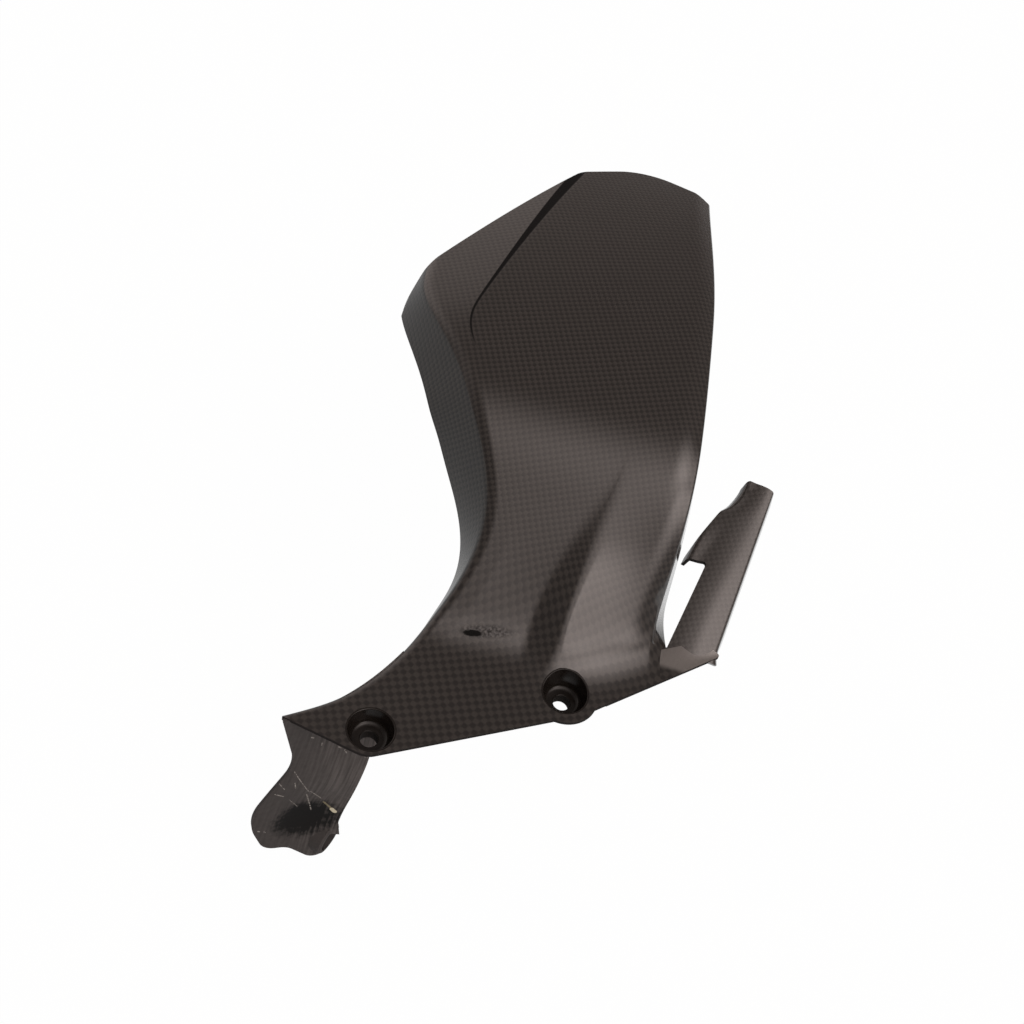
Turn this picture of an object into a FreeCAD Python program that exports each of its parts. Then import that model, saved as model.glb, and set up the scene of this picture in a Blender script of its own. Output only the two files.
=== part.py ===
import FreeCAD, Part
import math, os

# Rear fender of a sports motorcycle, moulded as one carbon laminate.
# Millimetres. Z runs up the two bolts of the base plate, Y towards the back of the wheel,
# X across the wheel. The origin is midway between the bolts, on the face they clamp to.
V = FreeCAD.Vector

# Laminate, bolts and the recessed cups they sit in
WALL = 1.5
BOLT_PITCH = 75.4
BOLT_TURN = 31.0
HOLE_R = 3.3
CUP_R = 8.4
CUP_DRAFT = 1.0
CUP_DEPTH = 6.6
CUP_FLOOR = 1.4
CUP_WALL = 1.4
CUP_LIP = 0.15
CUP_EASE = 1.8
CUP_RIM = 0.6
CUP_ROOT = 1.1
CUP_REACH = 8.0
SPIGOT_R = 4.8
SPIGOT_LEN = 3.2
EAR_R = 12.8
PLATE_TOP = SPIGOT_LEN + CUP_FLOOR + CUP_DEPTH
LEFT_BOLT = (-BOLT_PITCH / 2 * math.cos(math.radians(BOLT_TURN)),
             -BOLT_PITCH / 2 * math.sin(math.radians(BOLT_TURN)))

# Middle line of the blade: flat base, hollow bend, straight riser, round bend, long arc
VALLEY_Y = 18.0
VALLEY_R = 28.0
RISER_SLOPE = 44.0
RISER_LEN = 60.0
BEND_R = 50.0
BLADE_SLOPE = 12.0
BLADE_R = 380.0
BLADE_STATIONS = 16

# Places along that line, counted from the foot of the riser
FRONT = -85.0
CORNER = -50.0
FOOT = -22.0
WAIST = 32.0
RIDGE_TOP = 72.0
SPREAD = 82.0
FACET = 100.0
WIDE = 135.0
NARROW = 150.0
TAIL = 262.0

# Folds and edges across the blade
PLATE_REACH = 53.7
CORNER_REACH = 13.7
LEFT_FRONT = LEFT_BOLT[0] - PLATE_REACH
LEFT_CORNER = LEFT_BOLT[0] - CORNER_REACH
LEFT_FOOT = -30.0
LEFT_WAIST = -14.0
LEFT_SPREAD = -33.0
LEFT_WIDE = -67.0
RIGHT_FOOT = 58.5
RIGHT_NARROW = 50.6
RIGHT_TAIL = 38.2
RIDGE_X = 24.6
RIDGE_TOP_X = 30.3
RIDGE_H = 4.0
SHOULDER_W = 11.0
SHOULDER_DIP = 2.5
SHOULDER_MID = 40.0
SHOULDER_MID_SHARE = 0.72
PANEL_DROP = 11.0
FACET_SLOPE = 0.27
FACET_STEP = 3.0
FACET_START_X = -45.0
FACET_END_X = -10.0
CREASE_CLEAR = 9.0
CREASE_W = 1.6
LEFT_WALL = 20.0
LEFT_WALL_CORNER = 3.0
LEFT_WALL_FOOT = 8.0
LEFT_FLARE = 19.8
LEFT_FLARE_AT = 60.0
LEFT_FLARE_FOOT = 0.6
LEFT_FLARE_WIDE = 8.0
RIGHT_WALL = 14.0
RIGHT_WALL_START = -6.0
RIGHT_WALL_FULL = 14.0
RIGHT_FLARE = 2.8
RIGHT_FLARE_FOOT = 7.2
RIGHT_FLARE_WAIST = 4.8
RIGHT_FLAT = 14.0
FOLD_SOFT = 3.6
EDGE_SOFT = 10.0
FOLD_CUTS = (0.0, 0.34, 0.66, 1.0)

# Outline of the skin in plan, as corners (x, y, radius), and the points that keep clear of it
END_RUN = (77.7, 3.4)
FRONT_RUN = (1.3, 11.1)
PLATE_END = (LEFT_BOLT[0] - END_RUN[0], LEFT_BOLT[1] + END_RUN[1], 0)
FRONT_LEFT = (LEFT_BOLT[0] + FRONT_RUN[0], LEFT_BOLT[1] - FRONT_RUN[1], 9.0)
FRONT_BEND = (40.5, 12.4, 6.0)
FRONT_TIP = (88.6, 57.3, 2.0)
RIGHT_CLEAR = (59.0, 215.0, 0)
TAIL_RIGHT = (49.0, 252.0, 24.0)
TAIL_TOP = (8.0, 262.0, 30.0)
TAIL_LEFT = (-20.0, 243.0, 8.0)
FACET_LEFT = (-64.6, 161.9, 22.0)
FACET_LOW = (-73.0, 147.5, 10.0)
FACET_CLEAR = (-73.0, 128.0, 0)
LEFT_CLEAR = (-113.0, 100.0, 0)
GUSSET_OUT = 7.0
GUSSET_END = 66.0
GUSSET_EDGE = ((62.0, 56.0, 0), (56.0, 44.0, 0), (45.0, 30.0, 0), (45.0, 10.0, 0))
GUSSET_SUNK = 0.15
CUT_LOW = -60.0
CUT_HIGH = 120.0

# Chain guard, a crowned channel on its own slope, with a notch beside the blade
GUARD_Y = 57.0
GUARD_SLOPE = 20.0
GUARD_LEN = 76.0
GUARD_RIGHT = 88.2
GUARD_TIP_RIGHT = 96.5
GUARD_LEFT = 60.0
GUARD_TIP_LEFT = 83.4
GUARD_JOG = 4.0
GUARD_CROWN = 2.5
GUARD_SIDE = 7.0
GUARD_STEP = 2.2
GUARD_STATIONS = 16
GUARD_ROOT = 4.0
GUARD_SPLAY = 6.2
GUARD_SPARE = 4.0
GUARD_STEP_LEN = 14.0
GUARD_STEP_FADE = 18.0
GUARD_SHELF = 3.4
GUARD_CLEAR = 40.0
GUARD_TIP_R = 4.0
NOTCH_END = 90.8
NOTCH_X = 67.0
NOTCH_END_X = 74.5
NOTCH_START = 54.0

# Mounting tab, hung from the plate's left end, with heights counted down from the plate
TAB_RUN = (31.7, 4.6)
TAB_CORNER = (LEFT_BOLT[0] - TAB_RUN[0], LEFT_BOLT[1] - TAB_RUN[1])
TAB_TURN = 27.1
TAB_LEAN = 0.114
TAB_LEN = 95.0
TAB_STATIONS = 10
HOLLOW = 6.0
HOLLOW_U = 14.0
HOLLOW_W = 17.0
HOLLOW_TOP = 52.0
HOLLOW_MID = 28.0
HOLLOW_END = 8.0
TAB_ROOT = 35.0
TAB_EDGE = ((-1.6, 10.0, 0), (4.4, -27.0, 6.0), (-10.4, -62.6, 16.0), (-4.0, -82.8, 11.0), (6.0, -84.5, 6.0),
            (17.5, -TAB_LEN, 4.0), (27.0, -83.0, 4.0), (26.0, -74.0, 2.0), (34.8, -30.0, 6.0), (49.0, -6.0, 0),
            (49.0, 10.0, 0))
TAB_LEFT = -18.0
TAB_RIGHT = 54.0
BOSS_RUN = (6.7, 2.1)
BOSS_AT = (LEFT_BOLT[0] - BOSS_RUN[0], LEFT_BOLT[1] - BOSS_RUN[1])
BOSS_DOWN = 86.0
BOSS_TURN = -19.0
BOSS_R = 7.2
BOSS_BORE_R = 5.2
BOSS_LEN = 15.0


def smooth(keys, s):
    """Cubic curve through the (place, value) keys, level beyond both ends."""
    if s <= keys[0][0]:
        return keys[0][1]
    if s >= keys[-1][0]:
        return keys[-1][1]
    last = len(keys) - 1

    def slope(i):
        if i == 0 or i == last:
            return 0.0
        a = (keys[i][1] - keys[i - 1][1]) / (keys[i][0] - keys[i - 1][0])
        b = (keys[i + 1][1] - keys[i][1]) / (keys[i + 1][0] - keys[i][0])
        return 0.0 if a * b <= 0 else 2 * a * b / (a + b)

    i = max(k for k in range(last) if keys[k][0] <= s)
    h = keys[i + 1][0] - keys[i][0]
    f = (s - keys[i][0]) / h
    return ((1 + 2 * f) * (1 - f) ** 2 * keys[i][1] + f * (1 - f) ** 2 * h * slope(i)
            + f * f * (3 - 2 * f) * keys[i + 1][1] + f * f * (f - 1) * h * slope(i + 1))


def spaced(first, last, count):
    return [first + (last - first) * i / count for i in range(count + 1)]


def middle_line(s):
    """Point and slope of the blade's middle line at the place s."""
    steep, gentle = math.radians(RISER_SLOPE), math.radians(BLADE_SLOPE)
    s = s + VALLEY_R * steep
    if s <= 0:
        return VALLEY_Y + s, PLATE_TOP, 0.0
    a = min(s / VALLEY_R, steep)
    y, z, s = VALLEY_Y + VALLEY_R * math.sin(a), PLATE_TOP + VALLEY_R * (1 - math.cos(a)), s - VALLEY_R * a
    run = min(s, RISER_LEN)
    y, z, s = y + run * math.cos(a), z + run * math.sin(a), s - run
    for radius, most in ((BEND_R, steep - gentle), (BLADE_R, math.pi)):
        turn = min(s / radius, most)
        y += radius * (math.sin(a) - math.sin(a - turn))
        z += radius * (math.cos(a - turn) - math.cos(a))
        a, s = a - turn, s - radius * turn
    return y, z, a


def profile(station, depth):
    """Control points of one profile, strip by strip, offset inwards by depth.

    Each corner is (u, w, softness). A soft one is rounded in a few strips, flat ones on the inside.
    """
    base, across, out, corners = station
    legs = [(b[0] - a[0], b[1] - a[1]) for a, b in zip(corners, corners[1:])]
    sizes = [math.hypot(*leg) for leg in legs]
    dirs = [(u / n, w / n) for (u, w), n in zip(legs, sizes)]
    fits = [min(1.0, 0.96 * n / max(a[2] + b[2], 0.1)) for n, a, b in zip(sizes, corners, corners[1:])]
    found, start = [], None
    for i, (u, w, soft) in enumerate(corners):
        j, k = max(i - 1, 0), min(i, len(legs) - 1)
        a, b = dirs[j], dirs[k]
        share = depth / (1 + a[0] * b[0] + a[1] * b[1])
        u, w = u + share * (a[1] + b[1]), w - share * (a[0] + b[0])
        bend = share * (a[1] * b[0] - a[0] * b[1])
        before, after = [max(0.2, soft * fit - bend) if soft else 0.0 for fit in (fits[j], fits[k])]
        p, q, r = [base + across * x + out * y for x, y in
                   ((u - a[0] * before, w - a[1] * before), (u, w), (u + b[0] * after, w + b[1] * after))]
        if start:
            found.append([start, p])
        for t0, t1 in zip(FOLD_CUTS, FOLD_CUTS[1:]) if soft else ():
            arc = [p * ((1 - s) * (1 - t)) + q * (s + t - 2 * s * t) + r * (s * t)
                   for s, t in ((t0, t0), (t0, t1), (t1, t1))]
            found.append(arc[::2] if depth else arc)
        start = r
    return found


def surface(rows):
    """Spline surface held by rows of control points, of degree 3 at most."""
    def knots(count):
        degree = min(3, count - 1)
        inner = count - degree - 1
        return degree, [degree + 1] + [1] * inner + [degree + 1], [float(k) for k in range(inner + 2)]

    along, along_mults, along_knots = knots(len(rows))
    across, across_mults, across_knots = knots(len(rows[0]))
    made = Part.BSplineSurface()
    made.buildFromPolesMultsKnots(rows, along_mults, across_mults, along_knots, across_knots,
                                  False, False, along, across)
    return made


def laminate(profiles):
    """Solid sheet between an outer and an inner skin, both given as profiles of strips."""
    top, under = [[surface(list(rows)) for rows in zip(*skin)] for skin in profiles]
    faces = [skin.toShape() for skin in top + under]
    ends = [top[0].bounds()[0], top[0].bounds()[1]]
    sides = [(a.uIso(u), b.uIso(u)) for a, b in zip(top, under) for u in ends]
    sides += [(top[k].vIso(top[k].bounds()[v]), under[k].vIso(under[k].bounds()[v])) for k, v in ((0, 2), (-1, 3))]
    faces += [Part.makeRuledSurface(a.toShape(), b.toShape()) for a, b in sides]
    shell = Part.Shell(faces)
    shell.sewShape()
    solid = Part.Solid(shell)
    if solid.Volume < 0:
        solid.reverse()
    return solid


def folded(stations):
    return laminate([[profile(station, depth) for station in stations] for depth in (0.0, WALL)])


def rounded(corners):
    """Face in the XY plane with corners (x, y, radius)."""
    edges, ends = [], []
    for i, (x, y, r) in enumerate(corners):
        p, a, b = V(x, y, 0), V(*corners[i - 1][:2], 0), V(*corners[(i + 1) % len(corners)][:2], 0)
        if not r:
            ends.append((p, p))
            continue
        near = min((a - p).Length, (b - p).Length)
        u, v = (a - p).normalize(), (b - p).normalize()
        half = u.getAngle(v) / 2
        reach = min(r / math.tan(half), 0.48 * near)
        mid = p + (u + v).normalize() * (reach / math.cos(half) - reach * math.tan(half))
        q, w = p + u * reach, p + v * reach
        edges.append(Part.Arc(q, mid, w).toShape())
        ends.append((q, w))
    for i in range(len(ends)):
        edges.append(Part.makeLine(ends[i - 1][1], ends[i][0]))
    return Part.Face(Part.Wire(Part.__sortEdges__(edges)))


def prism(corners, low, high):
    face = rounded(corners)
    face.translate(V(0, 0, low))
    return face.extrude(V(0, 0, high - low))


def blade_station(s):
    """Profile across the blade at the place s, from the left wall's edge to the right one's."""
    y, z, a = middle_line(s)
    left = smooth(((FRONT, LEFT_FRONT), (CORNER, LEFT_CORNER), (FOOT, LEFT_FOOT), (WAIST, LEFT_WAIST),
                   (SPREAD, LEFT_SPREAD), (WIDE, LEFT_WIDE)), s)
    right = smooth(((WAIST, RIGHT_FOOT), (NARROW, RIGHT_NARROW), (TAIL, RIGHT_TAIL)), s)
    # The buttress: a ridge with a slanting shoulder, fading out at RIDGE_TOP
    rise = smooth(((FOOT, 0.0), (0.0, 1.0), (RIDGE_TOP, 0.0)), s)
    ridge = smooth(((0.0, RIDGE_X), (RIDGE_TOP, RIDGE_TOP_X)), s)
    shoulder = ridge - SHOULDER_W * smooth(((0.0, 1.0), (SHOULDER_MID, SHOULDER_MID_SHARE), (RIDGE_TOP, 0.1)), s)
    dip = SHOULDER_DIP * smooth(((FOOT, 0.0), (0.0, 1.0), (SHOULDER_MID, 0.0)), s)
    # The panel beside it falls away, but not below the plate
    fold_r = -min(PANEL_DROP * smooth(((0.0, 1.0), (RIDGE_TOP, 0.0)), s), (z - PLATE_TOP) / math.cos(a))
    # The facet on the upper left, stepped down from the blade along a slanting crease
    grow = max(0.0, (s - FACET) / (TAIL - FACET))
    crease = left + CREASE_CLEAR
    if grow > 0:
        crease = max(crease, FACET_START_X + grow * (FACET_END_X - FACET_START_X))
    step = FACET_STEP * grow
    drop = step + FACET_SLOPE * (crease - left - CREASE_CLEAR)
    # Walls: the left one flares most beside the bend, the right one leans out at its foot
    flare = smooth(((0.0, LEFT_FLARE_FOOT), (LEFT_FLARE_AT, LEFT_FLARE), (WIDE, LEFT_FLARE_WIDE)), s)
    depth = smooth(((CORNER, LEFT_WALL_CORNER), (FOOT, LEFT_WALL_FOOT), (WAIST, LEFT_WALL)), s)
    open_r = smooth(((RIGHT_WALL_START, 0.0), (RIGHT_WALL_FULL, 1.0)), s)
    lean = smooth(((RIGHT_WALL_FULL - 6.0, RIGHT_FLARE_FOOT), (WAIST, RIGHT_FLARE_WAIST),
                   (RIDGE_TOP, RIGHT_FLARE)), s)
    return (V(0, y, z), V(1, 0, 0), V(0, -math.sin(a), math.cos(a)), (
        (left - flare, -depth - drop * 0.5, 0), (left, -drop, FOLD_SOFT),
        (crease + 0.6 - CREASE_W - step * 0.7, -step, 0), (crease + 0.6, 0.0, 0),
        (shoulder, -dip, 0), (ridge, RIDGE_H * rise, 0), (right, fold_r, EDGE_SOFT),
        (right + lean * open_r + RIGHT_FLAT * (1 - open_r), fold_r - RIGHT_WALL * open_r, 0)))


def bolt_places():
    turn = math.radians(BOLT_TURN)
    half = V(math.cos(turn), math.sin(turn), 0) * (BOLT_PITCH / 2)
    return [-half, half]


def build_skin():
    """Blade and base in one sheet, with the gusset under the guard, cut to the plan outline."""
    blade = folded([blade_station(s) for s in spaced(FRONT, TAIL, BLADE_STATIONS)])
    tip_x = FRONT_TIP[0] + GUSSET_OUT
    gusset = prism([(tip_x, FRONT_TIP[1], 0), (tip_x, GUSSET_END, 0), *GUSSET_EDGE],
                   PLATE_TOP - WALL - GUSSET_SUNK, PLATE_TOP - GUSSET_SUNK)
    outline = prism([PLATE_END, FRONT_LEFT, FRONT_BEND, FRONT_TIP, (FRONT_TIP[0], RIGHT_CLEAR[1] - EAR_R, 0),
                     RIGHT_CLEAR, TAIL_RIGHT, TAIL_TOP, TAIL_LEFT, FACET_LEFT, FACET_LOW, FACET_CLEAR, LEFT_CLEAR],
                    CUT_LOW, CUT_HIGH)
    bolt = bolt_places()[1]
    outline = outline.fuse(Part.makeCylinder(EAR_R, CUT_HIGH - CUT_LOW, V(bolt.x, bolt.y, CUT_LOW)))
    return blade.fuse(gusset).common(outline)


def add_cup(skin, place):
    """Recessed bolt seat sunk into the skin: drafted wall, eased floor, and a spigot that the bolt clamps."""
    floor = PLATE_TOP - CUP_DEPTH
    low = CUP_R - CUP_DRAFT
    rim = CUP_R + CUP_WALL
    high = PLATE_TOP + CUP_REACH
    mouth = CUP_R + CUP_RIM
    root = floor + CUP_EASE + CUP_RIM
    pts = [(HOLE_R, 0), (HOLE_R, floor), (low - CUP_EASE, floor), (low, floor + CUP_EASE),
           (CUP_R, PLATE_TOP - 1.5 * CUP_RIM), (mouth, PLATE_TOP), (mouth, high), (rim, high),
           (rim, PLATE_TOP - WALL - 0.5), (low + CUP_ROOT, root), (low - CUP_ROOT, floor - CUP_FLOOR),
           (SPIGOT_R, floor - CUP_FLOOR), (SPIGOT_R, 0)]
    cup = Part.Face(Part.makePolygon([V(r, 0, z) for r, z in pts + pts[:1]])).revolve(V(0, 0, 0), V(0, 0, 1), 360)
    cup.translate(place)
    # The tall wall ends at the skin, which climbs behind the right cup
    over = Part.makeCylinder(rim + 0.1, CUT_HIGH, place).cut(skin)
    over = max(over.Solids, key=lambda piece: piece.CenterOfMass.z)
    over.translate(V(0, 0, CUP_LIP))
    well = Part.makeCylinder(mouth + 0.1, CUT_HIGH, place)
    return skin.cut(well).fuse(cup.cut(over))


def guard_station(q):
    """Profile across the chain guard at the distance q up its slope."""
    a = math.radians(GUARD_SLOPE)
    base = V(0, GUARD_Y + q * math.cos(a), PLATE_TOP + q * math.sin(a))
    jog = GUARD_LEN - GUARD_STEP_LEN
    left = smooth(((0.0, GUARD_LEFT), (GUARD_LEN * 0.44, GUARD_LEFT + GUARD_SPLAY),
                   (jog - 4.0, GUARD_TIP_LEFT - GUARD_JOG - 6.2), (jog + 2.0, GUARD_TIP_LEFT - GUARD_JOG),
                   (GUARD_LEN, GUARD_TIP_LEFT)), q)
    right = GUARD_RIGHT + (GUARD_TIP_RIGHT - GUARD_RIGHT) * q / GUARD_LEN
    step = GUARD_STEP * smooth(((jog - GUARD_STEP_FADE, 0.0), (jog, 1.0), (GUARD_LEN - 6.0, 1.0),
                                (GUARD_LEN - 2.0, 0.0)), q)
    edge = max(left + GUARD_SHELF, GUARD_TIP_LEFT + 1.0 - (GUARD_LEN - 2.0 - q) * 0.34)
    crown = GUARD_CROWN * smooth(((0.0, 1.0), (GUARD_LEN, 0.4)), q)
    return (base, V(1, 0, 0), V(0, -math.sin(a), math.cos(a)), (
        (left - 1.2, -GUARD_SIDE * 0.7, 0), (left, -step, 0), (edge - 0.5, -step, 0), (edge + 0.3, 0.0, 0),
        ((edge + right) / 2, crown, 3.0), (right - 1.6, 0.0, 2.4), (right, -GUARD_SIDE, 0)))


def build_guard():
    channel = folded([guard_station(q) for q in spaced(-GUARD_ROOT, GUARD_LEN + GUARD_SPARE, GUARD_STATIONS)])
    tip = GUARD_Y + GUARD_LEN * math.cos(math.radians(GUARD_SLOPE))
    out, near = GUARD_TIP_RIGHT + 0.6, GUARD_Y + 3.0
    outline = prism([(GUARD_CLEAR, NOTCH_START - EAR_R, 0), (out + EAR_R, NOTCH_START - EAR_R, 0), (out + EAR_R, near, 0),
                     (out, near, 0), (GUARD_TIP_RIGHT + 0.2, tip - 2.0, GUARD_TIP_R),
                     (GUARD_TIP_LEFT - 1.0, tip + 0.6, GUARD_TIP_R - 1.0), (NOTCH_END_X - 4.5, NOTCH_END + 11.0, 0),
                     (GUARD_CLEAR, NOTCH_END + 11.0, 0)], CUT_LOW, CUT_HIGH)
    notch = prism([(GUARD_CLEAR, NOTCH_START, 0), (NOTCH_X, NOTCH_START, 0), (NOTCH_END_X, NOTCH_END, 1.0),
                   (GUARD_CLEAR, NOTCH_END, 0)], CUT_LOW, CUT_HIGH)
    return channel.common(outline).cut(notch)


def tab_row(down, depth):
    """Level row of control points through the tab: curved under the plate, hollowed beside the boss."""
    turn = math.radians(TAB_TURN)
    across, out = V(math.cos(turn), math.sin(turn), 0), V(-math.sin(turn), math.cos(turn), 0)
    fade = smooth(((1.0, 1.0), (TAB_ROOT, 0.0)), down)
    low = smooth(((TAB_LEN - HOLLOW_TOP, 0.0), (TAB_LEN - HOLLOW_MID, 1.0), (TAB_LEN - HOLLOW_END, 0.0)), down)
    row = []
    for u in spaced(TAB_LEFT, TAB_RIGHT, TAB_STATIONS - 1):
        hollow = HOLLOW * low * max(0.0, 1 - ((u - HOLLOW_U) / HOLLOW_W) ** 2)
        lift = fade * (0.0075 * u * u + 0.1 * u - 1.4) - TAB_LEAN * down + hollow
        row.append(V(*TAB_CORNER, PLATE_TOP - down) + across * u + out * (lift - depth))
    return row


def build_tab():
    """The tab cut to its outline, with the bored boss on its lower edge."""
    downs = spaced(0.7, TAB_LEN + 6.0, TAB_STATIONS)
    hanging = laminate([[[tab_row(down, depth)] for down in downs] for depth in (0.0, WALL)])
    cut = prism(TAB_EDGE, CUT_LOW, -CUT_LOW)
    cut.rotate(V(0, 0, 0), V(1, 0, 0), 90)
    cut.rotate(V(0, 0, 0), V(0, 0, 1), TAB_TURN)
    cut.translate(V(*TAB_CORNER, PLATE_TOP))
    turn = math.radians(BOSS_TURN)
    axis = V(math.cos(turn), math.sin(turn), 0)
    end = V(*BOSS_AT, PLATE_TOP - BOSS_DOWN)
    boss = Part.makeCylinder(BOSS_R, BOSS_LEN, end - axis * BOSS_LEN, axis)
    bore = Part.makeCylinder(BOSS_BORE_R, 2 * BOSS_LEN, end - axis * (1.5 * BOSS_LEN), axis)
    return hanging.common(cut).fuse(boss).cut(bore)


os.makedirs("parts", exist_ok=True)
fender = build_skin()
for place in bolt_places():
    fender = add_cup(fender, place)
guard = build_guard()
tab = build_tab()
fender = fender.fuse(guard).fuse(tab)
fender.exportStep("parts/rear_fender.step")
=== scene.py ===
import math

import bpy
import numpy as np
from mathutils import Matrix


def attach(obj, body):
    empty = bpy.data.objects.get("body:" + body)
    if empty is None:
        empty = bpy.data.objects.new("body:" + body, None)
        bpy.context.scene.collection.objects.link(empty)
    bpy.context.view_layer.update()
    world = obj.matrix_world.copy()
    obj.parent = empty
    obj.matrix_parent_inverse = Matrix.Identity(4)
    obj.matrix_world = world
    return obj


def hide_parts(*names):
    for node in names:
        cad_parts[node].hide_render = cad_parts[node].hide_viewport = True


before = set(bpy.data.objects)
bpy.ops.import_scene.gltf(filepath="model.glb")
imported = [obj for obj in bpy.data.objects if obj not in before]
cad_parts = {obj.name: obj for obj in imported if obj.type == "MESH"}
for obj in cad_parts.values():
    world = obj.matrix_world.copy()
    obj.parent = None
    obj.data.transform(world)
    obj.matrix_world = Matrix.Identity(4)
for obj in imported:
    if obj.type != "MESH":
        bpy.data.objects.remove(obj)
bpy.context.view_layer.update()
scene = bpy.context.scene

# The skin: blade, riser and base plate, moulded as one folded sheet of woven carbon with a clear coat.
# Its profile is carried along a bent middle line, given a wall, and cut to the plan outline.
MM = 0.001
WALL = 1.5
PLATE_TOP = 11.2
VALLEY_Y, VALLEY_R, FOOT_RUN = 24.5, 12.0, 6.5
RISER_SLOPE, RISER_LEN = math.radians(44.0), 66.5
BEND_R, BLADE_SLOPE, BLADE_R = 50.0, math.radians(12.0), 380.0
FRONT, TAIL, END, STATIONS = -85.0, 262.0, 272.0, 33
SKIN_ROWS, TURN_STEPS, ARC_STEPS = 250, 96, 12
FOLD_STEPS, CREASE_STEPS, FOLD_FROM = 8, 4, 2.0
LEG_SHARE, LEAST_SOFT, REACH_SHARE = 0.96, 0.2, 0.48


def smooth(keys, s):
    """Cubic through (place, value) keys with harmonic mean slopes, level at and beyond the ends."""
    x, y = np.array(keys, float).T
    rise = np.diff(y) / np.diff(x)
    pair = rise[:-1] * rise[1:]
    slope = np.zeros(len(x))
    slope[1:-1] = np.where(pair > 0, 2 * pair / np.where(pair > 0, rise[:-1] + rise[1:], 1), 0)
    i = np.clip(np.searchsorted(x, s, "right") - 1, 0, len(x) - 2)
    h = x[i + 1] - x[i]
    f = np.clip((s - x[i]) / h, 0, 1)
    return ((1 + 2 * f) * (1 - f) ** 2 * y[i] + f * (1 - f) ** 2 * h * slope[i]
            + f * f * (3 - 2 * f) * y[i + 1] + f * f * (f - 1) * h * slope[i + 1])


def middle_line(s):
    """Height line of the sheet: flat, hollow arc, straight riser, round arc, long arc."""
    s = s + VALLEY_R * RISER_SLOPE + FOOT_RUN
    a = np.clip(s / VALLEY_R, 0, RISER_SLOPE)
    y = VALLEY_Y + np.minimum(s, 0) + VALLEY_R * np.sin(a)
    z = PLATE_TOP + VALLEY_R * (1 - np.cos(a))
    s = np.maximum(s - VALLEY_R * a, 0)
    run = np.minimum(s, RISER_LEN)
    y, z, s = y + run * np.cos(a), z + run * np.sin(a), s - run
    for radius, most in ((BEND_R, RISER_SLOPE - BLADE_SLOPE), (BLADE_R, math.pi)):
        turn = np.minimum(s / radius, most)
        y, z = y + radius * (np.sin(a) - np.sin(a - turn)), z + radius * (np.cos(a - turn) - np.cos(a))
        a, s = a - turn, s - radius * turn
    return y, z, a


def spline_weights(count, places):
    """Share of each of the control points of a clamped cubic spline, by the Cox and de Boor recursion."""
    knots = np.concatenate([np.zeros(3), np.linspace(0, 1, count - 2), np.ones(3)])
    t = np.clip(places, 0, 1 - 1e-9)[:, None]
    share = ((knots[:-1] <= t) & (t < knots[1:])).astype(float)
    for d in (1, 2, 3):
        span = knots[d:] - knots[:-d]
        gain = np.where(span > 0, 1 / np.where(span > 0, span, 1), 0)
        share = ((t - knots[:-d - 1]) * gain[:-1] * share[:, :-1]
                 + (knots[d + 1:] - t) * gain[1:] * share[:, 1:])
    return share


def folded(base, across, out, corners, steps, rows, places):
    """Sheet through profile stations: splines along, straight between corners, and at a corner a
    quadratic arc that starts and ends its softness away; the inner side has its corners moved in by the wall.
    Returns both sides in mm, a cloth map in mm, and a map of (corner number, place along)."""
    uw = np.array([[np.broadcast_to(v, len(base)) for v in corner[:2]] for corner in corners])
    uw = uw.transpose(2, 0, 1)
    soft = np.array([corner[2] for corner in corners], float)
    last = len(corners) - 1
    leg = np.diff(uw, axis=1)
    size = np.linalg.norm(leg, axis=2)
    fit = np.minimum(1, LEG_SHARE * size / np.maximum(soft[:-1] + soft[1:], 0.1))
    way = leg / size[..., None]
    j, k = np.maximum(np.arange(last + 1) - 1, 0), np.minimum(np.arange(last + 1), last - 1)
    a, b = way[:, j], way[:, k]
    weights = spline_weights(len(base), np.linspace(0, 1, rows))
    sides = []
    for depth in (0.0, WALL):
        share = depth / (1 + (a * b).sum(axis=2))
        q = uw + share[..., None] * np.stack([a[..., 1] + b[..., 1], -a[..., 0] - b[..., 0]], axis=2)
        bend = share * (a[..., 1] * b[..., 0] - a[..., 0] * b[..., 1])
        before, after = [np.where(soft > 0, np.maximum(LEAST_SOFT, soft * fit[:, n] - bend), 0)[..., None]
                         for n in (j, k)]
        p, q, r = [np.einsum("rn,nkc->rkc", weights, base[:, None] + v[..., :1] * across[:, None]
                             + v[..., 1:] * out[:, None]) for v in (q - a * before, q, q + b * after)]
        columns, numbers = [p[:, :1]], [[0.0]]
        for n in range(1, last + 1):
            t = np.linspace(0, 1, steps[n - 1] + 1)[1:]
            columns.append(r[:, n - 1:n] + (p[:, n:n + 1] - r[:, n - 1:n]) * t[:, None])
            numbers.append(n - 0.8 + 0.6 * t)
            if soft[n]:
                t = np.linspace(0, 1, (FOLD_STEPS if soft[n] > FOLD_FROM else CREASE_STEPS) + 1)[1:]
                f = t[:, None]
                columns.append((1 - f) ** 2 * p[:, n:n + 1] + 2 * f * (1 - f) * q[:, n:n + 1]
                               + f * f * r[:, n:n + 1])
                numbers.append(n - 0.2 + 0.4 * t)
        sides.append(np.concatenate(columns, axis=1))
    grid = sides[0]
    run = np.cumsum(np.linalg.norm(np.diff(grid, axis=1, prepend=grid[:, :1]), axis=2), axis=1)
    middle = grid.shape[1] // 2
    run = run - run[:, middle:middle + 1] + grid[:, middle:middle + 1, 0]
    climb = np.cumsum(np.linalg.norm(np.diff(grid[:, middle], axis=0, prepend=grid[:1, middle]), axis=1))
    cloth = np.stack([run, np.broadcast_to(climb[:, None], run.shape)], axis=2)
    marks = np.stack(np.meshgrid(np.concatenate(numbers), weights @ places), axis=2)
    return sides, cloth, marks


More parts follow.
